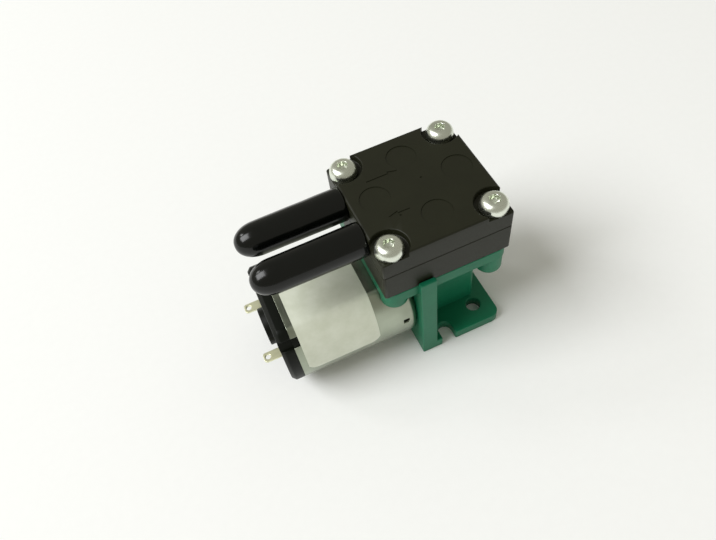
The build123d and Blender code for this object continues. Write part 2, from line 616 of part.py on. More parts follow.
def eccentric():
    """The turned hub on the shaft, its half-round counterweight and the offset crank pin."""
    part = rod_x(HUB_DIAMETER, HUB_BACK_X, HUB_FRONT_X)
    weight = rod_x(2 * COUNTERWEIGHT_RADIUS, HUB_FRONT_X - COUNTERWEIGHT_THICKNESS, HUB_FRONT_X)
    reach = COUNTERWEIGHT_RADIUS + OVERCUT
    lower = block(HUB_BACK_X, HUB_FRONT_X, -reach, reach, AXIS_Z - reach, AXIS_Z)
    part += weight & lower
    part += rod_x(PIN_SHOULDER_DIAMETER, HUB_FRONT_X, -BEARING_WIDTH / 2, 0, PIN_Z)
    pin_end = BEARING_WIDTH / 2 + RETAINER_THICKNESS
    part += rod_x(PIN_DIAMETER, HUB_FRONT_X, pin_end, 0, PIN_Z)
    return part - rod_x(SHAFT_DIAMETER, HUB_BACK_X, SHAFT_FRONT_X)


def race_groove():
    """The ring that the balls roll in, eight-sided in section, a running clearance larger than the balls."""
    side_to_side = BALL_DIAMETER + 2 * RUNNING
    section = RegularPolygon(side_to_side / 2, GROOVE_SIDES, major_radius=False, rotation=180 / GROOVE_SIDES)
    groove = revolve(Plane.XZ * Pos(ball_pitch_radius(), 0) * section, Axis.Z)
    return Pos(0, 0, PIN_Z) * Rot(0, 90, 0) * groove


def ball_pitch_radius():
    """The radius of the circle through the balls' centres."""
    inner = PIN_DIAMETER / 2 + INNER_RING_WALL
    outer = BEARING_OUTSIDE / 2 - OUTER_RING_WALL
    return (inner + outer) / 2


def bearing_inner_ring():
    """The race on the crank pin."""
    half = BEARING_WIDTH / 2
    outside = PIN_DIAMETER + 2 * INNER_RING_WALL
    return ring_x(PIN_DIAMETER, outside, -half, half, 0, PIN_Z) - race_groove()


def bearing_outer_ring():
    """The race in the rod, with a thin shield pressed into each of its faces."""
    half = BEARING_WIDTH / 2
    inside = BEARING_OUTSIDE - 2 * OUTER_RING_WALL
    race = ring_x(inside, BEARING_OUTSIDE, -half, half, 0, PIN_Z) - race_groove()
    shield_inside = PIN_DIAMETER + 2 * INNER_RING_WALL + 2 * SHIELD_GAP
    race += ring_x(shield_inside, inside, -half, SHIELD_THICKNESS - half, 0, PIN_Z)
    return race + ring_x(shield_inside, inside, half - SHIELD_THICKNESS, half, 0, PIN_Z)


def bearing_balls():
    """The full set of balls between the races."""
    balls = []
    for k in range(BALL_COUNT):
        angle = radians(360 * k / BALL_COUNT)
        y = ball_pitch_radius() * cos(angle)
        z = PIN_Z + ball_pitch_radius() * sin(angle)
        balls.append(Pos(0, y, z) * Sphere(BALL_DIAMETER / 2))
    return balls


def pin_retainer():
    """The push-on ring that keeps the bearing on the crank pin."""
    half = BEARING_WIDTH / 2
    return ring_x(PIN_DIAMETER, RETAINER_DIAMETER, half, half + RETAINER_THICKNESS, 0, PIN_Z)


def connecting_rod():
    """The moulded rod: bearing ring, tapered shank and the round flange under the diaphragm."""
    half = ROD_WIDTH / 2
    ring_outside = BEARING_OUTSIDE + 2 * ROD_RING_WALL
    rod = rod_x(ring_outside, -half, half, 0, PIN_Z)
    flange_low = ROD_TOP - ROD_FLANGE_THICKNESS
    outline = Polyline(
        (-ROD_SHANK_FOOT / 2, PIN_Z),
        (ROD_SHANK_FOOT / 2, PIN_Z),
        (ROD_SHANK_TOP / 2, flange_low - ROD_SHANK_FLARE),
        (ROD_SHANK_FOOT / 2, flange_low),
        (-ROD_SHANK_FOOT / 2, flange_low),
        (-ROD_SHANK_TOP / 2, flange_low - ROD_SHANK_FLARE),
        close=True,
    )
    side_view = Plane(origin=(-half, 0, 0), x_dir=(0, 1, 0), z_dir=(1, 0, 0))
    rod += extrude(side_view * make_face(outline), ROD_WIDTH)
    rod += rod_z(ROD_FLANGE_DIAMETER, flange_low, ROD_TOP)
    rod -= rod_x(BEARING_OUTSIDE, -half, half, 0, PIN_Z)
    return rod - rod_z(CLAMP_SCREW_DIAMETER, DISC_TOP - CLAMP_SCREW_LENGTH - SCREW_TIP_ROOM, ROD_TOP)


def diaphragm():
    """The rubber diaphragm: flat middle, rolled ring and the thick bead clamped at its rim."""
    hole = CLAMP_SCREW_DIAMETER / 2
    flat = ROD_FLANGE_DIAMETER / 2
    inner = BEAD_INSIDE / 2
    outer = BEAD_DIAMETER / 2
    middle = (flat + inner) / 2
    bead_low = HOUSING_TOP - BEAD_THICKNESS
    roll_low = bead_low - ROLL_DEPTH + ROLL_FLOOR_GAP
    outline = Polyline(
        (hole, ROD_TOP),
        (flat, ROD_TOP),
        (middle - ROLL_HALF_FLAT, roll_low),
        (middle + ROLL_HALF_FLAT, roll_low),
        (inner, bead_low),
        (outer, bead_low),
        (outer, HOUSING_TOP),
        (inner, HOUSING_TOP),
        (middle + ROLL_HALF_FLAT, roll_low + DIAPHRAGM_THICKNESS),
        (middle - ROLL_HALF_FLAT, roll_low + DIAPHRAGM_THICKNESS),
        (flat, DIAPHRAGM_TOP),
        (hole, DIAPHRAGM_TOP),
        close=True,
    )
    return revolve(Plane.XZ * make_face(outline), Axis.Z)


def pressure_disc():
    """The disc that clamps the diaphragm to the rod, countersunk for its screw."""
    disc = rod_z(DISC_DIAMETER, DIAPHRAGM_TOP, DISC_TOP)
    disc -= rod_z(CLAMP_SCREW_DIAMETER, DIAPHRAGM_TOP, DISC_TOP)
    return disc - cone_z(CLAMP_SCREW_DIAMETER, CLAMP_SCREW_HEAD, DISC_TOP - CLAMP_SCREW_HEAD_DEPTH, DISC_TOP)


def diaphragm_screw():
    """The small flat-head screw through the disc and the diaphragm into the rod."""
    screw = rod_z(CLAMP_SCREW_DIAMETER, DISC_TOP - CLAMP_SCREW_LENGTH, DISC_TOP - CLAMP_SCREW_HEAD_DEPTH)
    screw += cone_z(CLAMP_SCREW_DIAMETER, CLAMP_SCREW_HEAD, DISC_TOP - CLAMP_SCREW_HEAD_DEPTH, DISC_TOP)
    return screw - Pos(0, 0, DISC_TOP) * Box(CLAMP_SCREW_HEAD, DRIVE_SLOT_WIDTH, 2 * DRIVE_SLOT_DEPTH)


def head_blank(z0, z1):
    """A square slab of the head with its four screw holes."""
    slab = block(-HEAD_HALF, HEAD_HALF, -HEAD_HALF, HEAD_HALF, z0, z1)
    slab = fillet(slab.edges().filter_by(Axis.Z), HEAD_CORNER_RADIUS)
    for x, y in CORNERS:
        slab -= rod_z(SCREW_DIAMETER + 2 * SCREW_HOLE_ROOM, z0, z1, x, y)
    return slab


def stop_ribs(y, z0, z1):
    """Three short ribs in a valve pocket that hold the disc off the face behind it."""
    ribs = []
    inner = VALVE_PORT_DIAMETER / 2
    outer = VALVE_DIAMETER / 2
    for k in range(STOP_RIB_COUNT):
        rib = Pos((inner + outer) / 2, 0, (z0 + z1) / 2) * Box(outer - inner, STOP_RIB_WIDTH, z1 - z0)
        ribs.append(Pos(0, y, 0) * Rot(0, 0, 90 + 360 * k / STOP_RIB_COUNT) * rib)
    return ribs


def head_base():
    """The lower layer of the head: pump chamber below, two valve pockets and seal grooves above."""
    base = head_blank(HOUSING_TOP, BASE_TOP)
    base -= rod_z(CHAMBER_DIAMETER, HOUSING_TOP, HOUSING_TOP + CHAMBER_DEPTH)
    for side in (-1, 1):
        y = side * PORT_SPACING / 2
        base -= rod_z(VALVE_POCKET_DIAMETER, POCKET_FLOOR, BASE_TOP, 0, y)
        base -= rod_z(VALVE_PORT_DIAMETER, HOUSING_TOP, BASE_TOP, 0, y)
        inside = SEAL_INSIDE
        base -= ring_z(inside, inside + 2 * SEAL_WALL, BASE_TOP - SEAL_THICKNESS, BASE_TOP, 0, y)
    inlet_y = PORT_SPACING / 2
    for rib in stop_ribs(inlet_y, POCKET_FLOOR - STOP_RIB_ROOT, inlet_disc_z()):
        base += rib
    return base


def inlet_disc_z():
    """The height at which the inlet disc lies on its stop ribs."""
    return BASE_TOP - VALVE_THICKNESS - VALVE_LIFT


def valve_disc(y, z):
    """One rubber valve disc."""
    return rod_z(VALVE_DIAMETER, z, z + VALVE_THICKNESS, 0, y)


def valve_seals():
    """The two rubber rings that seal the pockets between the head's layers."""
    seals = []
    for side in (-1, 1):
        y = side * PORT_SPACING / 2
        outside = SEAL_INSIDE + 2 * SEAL_WALL
        seals.append(ring_z(SEAL_INSIDE, outside, BASE_TOP - SEAL_THICKNESS, BASE_TOP, 0, y))
    return seals


def hose_nipple(y):
    """One barbed nipple on the cover, before it is bored."""
    root = -HEAD_HALF
    tip = root - NIPPLE_LENGTH
    nipple = rod_x(NIPPLE_DIAMETER, tip, root, y, PORT_Z)
    return nipple + cone_x(BARB_LEAD_DIAMETER, BARB_DIAMETER, tip, tip + BARB_LENGTH, y, PORT_Z)


def head_cover():
    """The upper layer of the head: screw recesses, a scoop where the mould's gate was, and two hose nipples."""
    cover = head_blank(BASE_TOP, COVER_TOP)
    top_edges = cover.faces().sort_by(Axis.Z)[-1].outer_wire().edges()
    cover = chamfer(top_edges, HEAD_EDGE_CHAMFER)
    scoop_y = HEAD_HALF - GATE_SCOOP_DEPTH + GATE_SCOOP_RADIUS
    cover -= rod_z(2 * GATE_SCOOP_RADIUS, BASE_TOP, COVER_TOP, GATE_SCOOP_X, scoop_y)
    for x, y in CORNERS:
        cover -= rod_z(SCREW_RECESS_DIAMETER, SCREW_SEAT, COVER_TOP, x, y)
        x_low, x_high = sorted((x, x / abs(x) * HEAD_HALF))
        y_low, y_high = sorted((y, y / abs(y) * HEAD_HALF))
        cover -= block(x_low, x_high, y_low, y_high, SCREW_SEAT, COVER_TOP)
    for side in (-1, 1):
        y = side * PORT_SPACING / 2
        cover += hose_nipple(y)
        end = VALVE_PORT_DIAMETER / 2
        cover -= rod_x(PORT_BORE, -HEAD_HALF - NIPPLE_LENGTH, end, y, PORT_Z)
        cover -= rod_z(VALVE_PORT_DIAMETER, BASE_TOP, PORT_Z, 0, y)
    outlet_y = -PORT_SPACING / 2
    for rib in stop_ribs(outlet_y, BASE_TOP - STOP_RIB_HEIGHT, BASE_TOP + STOP_RIB_ROOT):
        cover += rib
    return cover


def head_screws():
    """Four pan-head screws with a six-sided drive."""
    screws = []
    for x, y in CORNERS:
        shank = rod_z(SCREW_DIAMETER, SCREW_TIP, SCREW_SEAT, x, y)
        top = SCREW_SEAT + SCREW_HEAD_HEIGHT
        head = rod_z(SCREW_HEAD_DIAMETER, SCREW_SEAT, top - SCREW_HEAD_RISE, x, y)
        head += cone_z(SCREW_HEAD_DIAMETER, SCREW_HEAD_CROWN, top - SCREW_HEAD_RISE, top, x, y)
        drive = extrude(Pos(x, y, top) * RegularPolygon(DRIVE_ACROSS / 2, DRIVE_SIDES), -DRIVE_DEPTH)
        screws.append(shank + head - drive)
    return screws


def port_cap(side):
    """One rubber cap over a nipple: slightly tapered, with a round closed end."""
    y = side * PORT_SPACING / 2
    root = -HEAD_HALF - SLIP
    tip_radius = CAP_TIP_DIAMETER / 2
    tip = root - CAP_LENGTH
    cap = cone_x(CAP_TIP_DIAMETER, CAP_DIAMETER, tip + tip_radius, root, y, PORT_Z)
    cap += Pos(tip + tip_radius, y, PORT_Z) * Sphere(tip_radius)
    return cap - rod_x(BARB_DIAMETER + 2 * CAP_FIT, root - CAP_INSIDE_DEPTH, root, y, PORT_Z)


def as_shape(result):
    """One solid, or a compound when a node holds several."""
    if isinstance(result, list):
        return Compound(children=[Compound(s.solids()) if len(s.solids()) > 1 else s.solid() for s in result])
    return result.solid() if len(result.solids()) == 1 else result


nodes = {
    "housing": housing(),
    "motor_can": motor_can(),
    "motor_end_cap": motor_end_cap(),
    "motor_screws": motor_screws(),
    "front_bush": bush(CAN_FRONT_X - CAN_WALL),
    "rear_bush": bush(REAR_BUSH_X),
    "field_magnet_left": magnet(1),
    "field_magnet_right": magnet(-1),
    "terminal_left": terminal(1),
    "terminal_right": terminal(-1),
    "brush_left": brush(1),
    "brush_right": brush(-1),
    "rating_label": rating_label(),
    "head_base": head_base(),
    "head_cover": head_cover(),
    "head_screws": head_screws(),
    "valve_seals": valve_seals(),
    "diaphragm": diaphragm(),
    "motor_shaft": motor_shaft(),
    "armature_core": armature_core(),
    "armature_windings": armature_windings(),
    "commutator": commutator(),
    "eccentric": eccentric(),
    "pin_retainer": pin_retainer(),
    "bearing_inner_ring": bearing_inner_ring(),
    "bearing_balls": bearing_balls(),
    "bearing_outer_ring": bearing_outer_ring(),
    "connecting_rod": connecting_rod(),
    "pressure_disc": pressure_disc(),
    "diaphragm_screw": diaphragm_screw(),
    "inlet_valve": valve_disc(PORT_SPACING / 2, inlet_disc_z()),
    "outlet_valve": valve_disc(-PORT_SPACING / 2, POCKET_FLOOR),
    "inlet_cap": port_cap(1),
    "outlet_cap": port_cap(-1),
}

os.makedirs("parts", exist_ok=True)
for name, result in nodes.items():
    export_step(as_shape(result), f"parts/{name}.step")
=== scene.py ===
import json
import math

import bmesh
import bpy
from mathutils import Matrix, Vector, noise
from mathutils.bvhtree import BVHTree
from mathutils.geometry import intersect_point_line


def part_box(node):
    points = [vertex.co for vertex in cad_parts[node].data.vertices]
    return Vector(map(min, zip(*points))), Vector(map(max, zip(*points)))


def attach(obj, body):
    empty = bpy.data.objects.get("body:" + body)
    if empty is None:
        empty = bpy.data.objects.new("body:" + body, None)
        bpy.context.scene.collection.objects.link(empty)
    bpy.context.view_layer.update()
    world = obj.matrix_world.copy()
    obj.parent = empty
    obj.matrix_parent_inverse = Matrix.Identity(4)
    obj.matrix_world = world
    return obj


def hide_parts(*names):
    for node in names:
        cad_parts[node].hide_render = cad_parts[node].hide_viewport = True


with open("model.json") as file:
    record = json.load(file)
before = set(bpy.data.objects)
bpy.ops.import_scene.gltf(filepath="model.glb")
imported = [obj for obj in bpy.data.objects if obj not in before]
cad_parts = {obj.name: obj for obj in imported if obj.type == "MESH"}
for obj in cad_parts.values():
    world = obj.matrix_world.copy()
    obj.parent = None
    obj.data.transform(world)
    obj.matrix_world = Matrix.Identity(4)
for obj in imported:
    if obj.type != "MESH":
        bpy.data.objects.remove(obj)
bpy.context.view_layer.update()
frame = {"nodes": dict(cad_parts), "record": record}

# Miniature diaphragm air pump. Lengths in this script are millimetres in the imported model's frame, and
# MM turns them into Blender's metres. +X points from the motor to the open front of the crankcase.
MM = 0.001

# Camera, at the photograph's viewing angle, in degrees
CAMERA_AZIMUTH = -14.72
CAMERA_ELEVATION = 55.61
CAMERA_ROLL = -10.77
CAMERA_PLACE = (-25.69, -56.02, 99.41)
CAMERA_NEAR = 5
SENSOR_WIDTH = 36.0
LENS = 31.7

# Soft boxes, as the direction from the pump, width and height, watts and colour
LIGHTS = {
    "window": ((-0.58, 0.52, 0.58), (210, 290), 1.6, "#FFFFFF"),
    "soft_left": ((-0.65, 0.08, 0.75), (900, 900), 19.5, "#FDFEFF"),
}
LIGHT_DISTANCE = 1500
PUMP_MIDDLE = (-10, 0, 12)

# Room, and the sheet of card that the pump stands on. FLOOR_GAP is the room between its feet and the card
ROOM_COLOUR = "#F6F3E4"
ROOM_STRENGTH = 0.4
FLOOR_HALF = 1500
FLOOR_GAP = 0.02
CARD_COLOURS = ("#F9FAFA", "#FCFDFD")
CARD_ROUGHNESS = 0.8
CARD_FIBRE = 1.5

# Sockets of a Mix node set to colours, which share their names with its other sockets
MIX_SHARE = 0
MIX_FIRST = 6
MIX_SECOND = 7
MIXED = 2

# How far a finish's roughness goes below and above its middle
SMOOTHER = 0.08
PLASTIC_ROUGHER = 0.1
METAL_ROUGHER = 0.12

# Width of a metal's patches of tarnish
TARNISH_PATCH = 5.0

# Spacing of a metal's marks along X, Y and Z. Turned and drawn pieces have marks round X, and rolled and
# ground ones have them along X. Real marks lie about 0.03 apart and the windings' wires about 0.15, and both
# are drawn coarser to show. The core's sheets are drawn as thick as real ones.
ROUND_MARKS = (0.12, 4.0, 4.0)
LONG_MARKS = (6.0, 0.15, 0.15)
EVEN_MARKS = (0.2, 0.2, 0.2)
SHEETS = (0.35, 9.0, 9.0)
WIRES = (9.0, 0.25, 0.25)

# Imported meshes: corners closer than JOIN are one corner, and faces that meet flatter than FLAT are one face
JOIN = 0.001
FLAT = math.radians(1.0)

# Edges turned by more than EDGE_ANGLE are sharp. Two that leave a corner within GRAZE_ANGLE have no room for
# roundings, nor has an edge whose rounding strays from the surface by more than the share STRAY of its width.
# Once the roundings are in, only edges past CREASE_ANGLE are shaded as sharp. LARGE_FACE_SAY is how much a
# large face leads the shading of the roundings beside it, where 50 is neutral and 100 the most.
EDGE_ANGLE = math.radians(28)
GRAZE_ANGLE = math.radians(40)
STRAY = 0.45
EDGE_SEGMENTS = 2
CREASE_ANGLE = math.radians(50)
LARGE_FACE_SAY = 100

# Edge roundings of the rigid pieces
EDGES = {
    "housing": 0.18,
    "head_base": 0.16,
    "motor_can": 0.08,
    "motor_end_cap": 0.12,
    "rating_label": 0.03,
    "terminal_left": 0.06,
    "terminal_right": 0.06,
    "eccentric": 0.1,
    "connecting_rod": 0.15,
    "bearing_outer_ring": 0.04,
    "bearing_inner_ring": 0.04,
    "pin_retainer": 0.06,
    "motor_screws": 0.05,
    "pressure_disc": 0.06,
    "diaphragm_screw": 0.05,
    "field_magnet_left": 0.2,
    "field_magnet_right": 0.2,
    "front_bush": 0.12,
    "rear_bush": 0.12,
}

# Cover: pads a little sunk below the top, engraved flow arrows (start, end and Y) and two mould dots
COVER_EDGE = 0.16
COVER_TOP = max(v.co.z for v in frame["nodes"]["head_cover"].data.vertices) / MM
PAD_RADIUS = 2.35
PAD_DEPTH = 0.11
PAD_MIDDLES = ((-6.4, 0.4), (0.4, -6.0), (6.9, 0.3), (0.5, 6.0))
MARK_DEPTH = 0.1
ARROW_LINE = 0.22
ARROW_HEAD_LENGTH = 1.6
ARROW_HEAD_WIDTH = 0.9
ARROWS = ((-6.2, -1.1, 3.9), (-2.7, -6.1, -3.55))
DOTS = ((1.3, 0.9), (-4.4, -4.1))
DOT_RADIUS = 0.16
DOT_STEPS = 12

# Head screws: pan heads with a soft rim, a short straight side, a dome and a six-lobed recess
ROUND_STEPS = 48
SCREW_HEAD_WIDTH = 4.3
SCREW_HEAD_HEIGHT = 1.9
SCREW_SHANK = 2.2
HEAD_RIM = 0.12
HEAD_SIDE_SHARE = 0.35
DOME_STEPS = 7
DOME_CURVE = 1.6
DOME_FULLNESS = 0.9
LOBES = 6
LOBE_RADIUS = 0.86
LOBE_DEPTH = 0.16
RIM_SOFTNESS = 0.05
RECESS_DEPTH = 0.85
RECESS_DRAFT = 0.03
RECESS_CONE = 0.25

# Their shanks, with a rolled thread that tapers out at the tip over TAPER_TURNS turns
THREAD_PITCH = 0.9
THREAD_DEPTH = 0.22
THREAD_STEPS = 6
THREAD_CREST = 0.7
THREAD_MARGIN = 0.15
TAPER_TURNS = 3
TAPER_START = 0.55
TIP_SHARE = 0.3
NECK_SHARE = 0.8

# Rubber caps: bore, lip at the open end, barrel and rounded end. LIP_ROUNDING gives places behind the mouth
# and how far under the full radius they lie
CAP_ROUND_STEPS = 56
CAP_BORE = 3.26
CAP_BORE_DEPTH = 13.0
CAP_BORE_ROUND = 0.4
BORE_END_SHARE = 0.5
CAP_LIP = 0.3
LIP_FLARE = 0.2
LIP_ROUNDING = ((0, 0.25), (0.12, 0.08), (CAP_LIP, 0.02))
CAP_BARREL_STEPS = 24
CAP_TAPER = 0.05
CAP_DOME_LENGTH = 3.7
CAP_DOME_STEPS = 17
CAP_DOME_FULLNESS = 0.9

# Waves that dipping leaves: their height, their spacing, how fast they change round the cap, and how far
# outside the bore they start
CAP_WAVE = 0.03
CAP_WAVE_SPACING = 3.0
CAP_WAVE_ROUND = 4
CAP_WAVE_FROM = 0.3

BODY_OF = {node: body for body, nodes in frame["record"]["behaviour"]["bodies"].items() for node in nodes}
SLOT_OF = {part["node"]: part["material_slot"] for part in frame["record"]["subparts"]}


def srgb(code):
    """A colour written as sRGB hex, in the linear values that a shader takes."""
    channels = [int(code[i:i + 2], 16) / 255 for i in (1, 3, 5)]
    return [c / 12.92 if c <= 0.04045 else ((c + 0.055) / 1.055) ** 2.4 for c in channels] + [1.0]


def add(tree, kind, inputs=None, **settings):
    """Adds a node. inputs holds a value or a socket to link for each input, settings its other properties."""
    node = tree.nodes.new("ShaderNode" + kind)
    for name, value in settings.items():
        setattr(node, name, value)
    for name, value in (inputs or {}).items():
        if isinstance(value, bpy.types.NodeSocket):
            tree.links.new(value, node.inputs[name])
        else:
            node.inputs[name].default_value = value
    return node


def new_material(name, inputs):
    """A material with one Principled shader, and the node that gives places on the piece in millimetres."""
    made = bpy.data.materials.new(name)
    made.use_nodes = True
    tree = made.node_tree
    shader = tree.nodes["Principled BSDF"]
    for socket, value in inputs.items():
        shader.inputs[socket].default_value = value
    places = add(tree, "TexCoord")
    scaled = add(tree, "VectorMath", {0: places.outputs["Object"], "Scale": 1 / MM}, operation="SCALE")
    return made, tree, shader, scaled.outputs[0]


def mixed(tree, share, first, second):
    """Adds a node that mixes two colours, and gives its result."""
    inputs = {MIX_SHARE: share, MIX_FIRST: srgb(first), MIX_SECOND: srgb(second)}
    return add(tree, "Mix", inputs, data_type="RGBA").outputs[MIXED]


def dress(tree, shader, colour, gloss, bump):
    """Links a finish's colour, roughness and fine relief to its shader."""
    tree.links.new(colour, shader.inputs["Base Color"])
    tree.links.new(gloss.outputs[0], shader.inputs["Roughness"])
    tree.links.new(bump.outputs[0], shader.inputs["Normal"])


def moulded_plastic(name, colour, paler, roughness, grain, height, specular=0.5, patch=4.0, share=0.35):
    """A moulded skin: grain from the mould's walls, and soft patches where the melt set paler."""
    made, tree, shader, mm = new_material(name, {"Specular IOR Level": specular})
    patches = add(tree, "TexNoise", {"Vector": mm, "Scale": 1 / patch, "Detail": 3.0, "Roughness": 0.6})
    limits = {"From Min": 0.35, "From Max": 0.75, "To Max": share}
    level = add(tree, "MapRange", {"Value": patches.outputs[0]} | limits)
    tint = mixed(tree, level.outputs[0], colour, paler)
    fine = add(tree, "TexNoise", {"Vector": mm, "Scale": 1 / grain, "Detail": 2.0, "Roughness": 0.5})
    limits = {"To Min": roughness - SMOOTHER, "To Max": roughness + PLASTIC_ROUGHER}
    gloss = add(tree, "MapRange", {"Value": fine.outputs[0]} | limits)
    bump = add(tree, "Bump", {"Strength": 0.5, "Distance": height * MM, "Height": fine.outputs[0]})
    dress(tree, shader, tint, gloss, bump)
    return made


def worked_metal(name, colour, darker, roughness, marks, height):
    """A worked metal: tool marks, with their spacing along each axis and their height, and patchy tarnish."""
    made, tree, shader, mm = new_material(name, {"Metallic": 1.0})
    spread = add(tree, "VectorMath", {0: mm, 1: [1 / m for m in marks]}, operation="MULTIPLY").outputs[0]
    lines = add(tree, "TexNoise", {"Vector": spread, "Scale": 1.0, "Detail": 3.0, "Roughness": 0.6})
    patches = add(tree, "TexNoise", {"Vector": mm, "Scale": 1 / TARNISH_PATCH, "Detail": 2.0})
    limits = {"From Min": 0.35, "From Max": 0.7, "To Max": 0.6}
    level = add(tree, "MapRange", {"Value": patches.outputs[0]} | limits)
    tint = mixed(tree, level.outputs[0], colour, darker)
    limits = {"To Min": roughness - SMOOTHER, "To Max": roughness + METAL_ROUGHER}
    gloss = add(tree, "MapRange", {"Value": lines.outputs[0]} | limits)
    bump = add(tree, "Bump", {"Strength": 0.4, "Distance": height * MM, "Height": lines.outputs[0]})
    dress(tree, shader, tint, gloss, bump)
    return made


def plastic_finishes():
    """The moulded pieces. An eroded mould's grain is 0.05 to 0.1 wide, and grain is drawn coarser to show."""
    return {
        # Moulded ABS: a deep bottle green, satin, with the faint haze of an eroded mould
        "housing_plastic": moulded_plastic(
            "abs_green_moulded", "#0F6D4D", "#1C805C", roughness=0.4, grain=0.25, height=0.012,
            specular=0.3),
        # Moulded nylon: a warm black with a soft sheen and a fine grain that breaks the reflections up
        "head_plastic": moulded_plastic(
            "nylon_black_moulded", "#1D1E11", "#252718", roughness=0.44, grain=0.2, height=0.014,
            specular=0.28),
        # Moulded PBT: a smoother, deeper black than the head's
        "end_cap_plastic": moulded_plastic(
            "pbt_black_moulded", "#090D07", "#0F140C", roughness=0.44, grain=0.2, height=0.008,
            specular=0.18),
        # Moulded acetal: milky white and waxy
        "rod_plastic": moulded_plastic(
            "acetal_white_moulded", "#DAD7CA", "#E6E4DA", roughness=0.35, grain=0.3, height=0.006),
        # Dip-moulded soft PVC: wet-looking black with slow waves and one sharp highlight
        "cap_rubber": moulded_plastic(
            "pvc_black_dip_moulded", "#050705", "#090C08", roughness=0.16, grain=1.2, height=0.012,
            specular=0.36),
        # Pressed nitrile rubber: dull grey-black, a little dusty
        "soft_rubber": moulded_plastic(
            "nitrile_black_pressed", "#1B1B1A", "#262625", roughness=0.6, grain=0.2, height=0.01),
        # Sintered ferrite: a dry, charcoal grey stone
        "magnet_ferrite": moulded_plastic(
            "ferrite_grey_sintered", "#3A3A3C", "#4A4A4C", roughness=0.6, grain=0.2, height=0.02),
        # Coated polyester film: a pale silver-grey with a satin coat, faintly cloudy from its glue
        "label_paper": moulded_plastic(
            "polyester_film_satin", "#DADFCC", "#EAEEDF", roughness=0.38, grain=0.3, height=0.002,
            patch=2.5, share=0.8),
    }


def metal_finishes():
    """The metal pieces, with the spacing and the height of their marks."""
    return {
        # Deep-drawn steel, nickelled: soft grey-green reflections, pulled out round the can
        "can_steel": worked_metal(
            "steel_nickelled_drawn", "#ABB2A1", "#858C7B", roughness=0.3, marks=ROUND_MARKS, height=0.006),
        # Zinc-plated steel: a bright, slightly green silver with a broken shine
        "screw_steel": worked_metal(
            "steel_zinc_plated", "#EDF1E5", "#D2D8CA", roughness=0.27, marks=EVEN_MARKS, height=0.006),
        # Stamped and tinned brass: pale straw-coloured, with its rolling lines
        "terminal_metal": worked_metal(
            "brass_tinned_stamped", "#F5F6D6", "#D4D3AC", roughness=0.38, marks=LONG_MARKS, height=0.004),
        # Rolled bronze leaf: warm and springy-looking, with long lines
        "brush_metal": worked_metal(
            "bronze_leaf_rolled", "#C98F5A", "#A97340", roughness=0.3, marks=LONG_MARKS, height=0.003),
        # Ground steel: a cool, even grey
        "steel": worked_metal(
            "steel_ground", "#BFC0C2", "#A6A8AA", roughness=0.25, marks=LONG_MARKS, height=0.002),
        # Lapped bearing steel: nearly a mirror
        "bearing_steel": worked_metal(
            "bearing_steel_lapped", "#D2D4D6", "#BBBEC0", roughness=0.14, marks=EVEN_MARKS, height=0.001),
        # Turned brass: yellow, with fine rings from the tool
        "brass": worked_metal(
            "brass_turned", "#C9A557", "#A9863E", roughness=0.28, marks=ROUND_MARKS, height=0.004),
        # Sintered bronze: brown, matt and full of small pores that hold oil
        "bush_bronze": worked_metal(
            "bronze_sintered", "#9A7748", "#7C5C34", roughness=0.5, marks=EVEN_MARKS, height=0.02),
        # Stacked silicon steel: dull grey, with a line at each sheet
        "core_steel": worked_metal(
            "silicon_steel_stacked", "#77797B", "#5E6062", roughness=0.45, marks=SHEETS, height=0.02),
        # Enamelled copper wire: deep orange and glossy, ribbed by its turns
        "copper_wire": worked_metal(
            "copper_enamelled_wound", "#B4602D", "#8E4620", roughness=0.3, marks=WIRES, height=0.03),
    }


def join_flat(mesh):
    """Joins corners that lie together, and faces that lie in one plane."""
    bmesh.ops.remove_doubles(mesh, verts=mesh.verts, dist=JOIN * MM)
    bmesh.ops.dissolve_limit(mesh, angle_limit=FLAT, verts=mesh.verts, edges=mesh.edges)


def clean_mesh(node):
    """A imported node's mesh with its corners joined and its flat faces whole again."""
    mesh = bmesh.new()
    mesh.from_mesh(frame["nodes"][node].data)
    join_flat(mesh)
    return mesh


def new_object(name, data):
    """Puts a mesh, lamp or camera into the scene."""
    made = bpy.data.objects.new(name, data)
    bpy.context.scene.collection.objects.link(made)
    return made


def new_piece(mesh, name, node):
    """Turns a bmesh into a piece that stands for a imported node, with its body and its finish."""
    data = bpy.data.meshes.new(name)
    mesh.to_mesh(data)
    mesh.free()
    piece = new_object(name, data)
    data.materials.append(finishes[SLOT_OF[node]])
    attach(piece, BODY_OF[node])
    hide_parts(node)
    return piece


def apply_modifiers(piece):
    """Puts the result of the piece's modifiers into its mesh."""
    depsgraph = bpy.context.evaluated_depsgraph_get()
    result = bpy.data.meshes.new_from_object(piece.evaluated_get(depsgraph))
    piece.modifiers.clear()
    piece.data = result


def rounded(mesh, sharp, width):
    """A copy of the mesh with its sharp edges rounded by width."""
    weight = mesh.edges.layers.float["bevel_weight_edge"]
    for edge in mesh.edges:
        edge[weight] = 1.0 if edge in sharp else 0.0
    data = bpy.data.meshes.new("rounded")
    mesh.to_mesh(data)
    holder = new_object("rounded", data)
    bevel = holder.modifiers.new("edges", "BEVEL")
    bevel.width = width
    bevel.segments = EDGE_SEGMENTS
    bevel.limit_method = "WEIGHT"
    bevel.use_clamp_overlap = False
    bevel.miter_outer = "MITER_SHARP"
    bevel.loop_slide = False
    apply_modifiers(holder)
    result = holder.data
    bpy.data.objects.remove(holder)
    return result


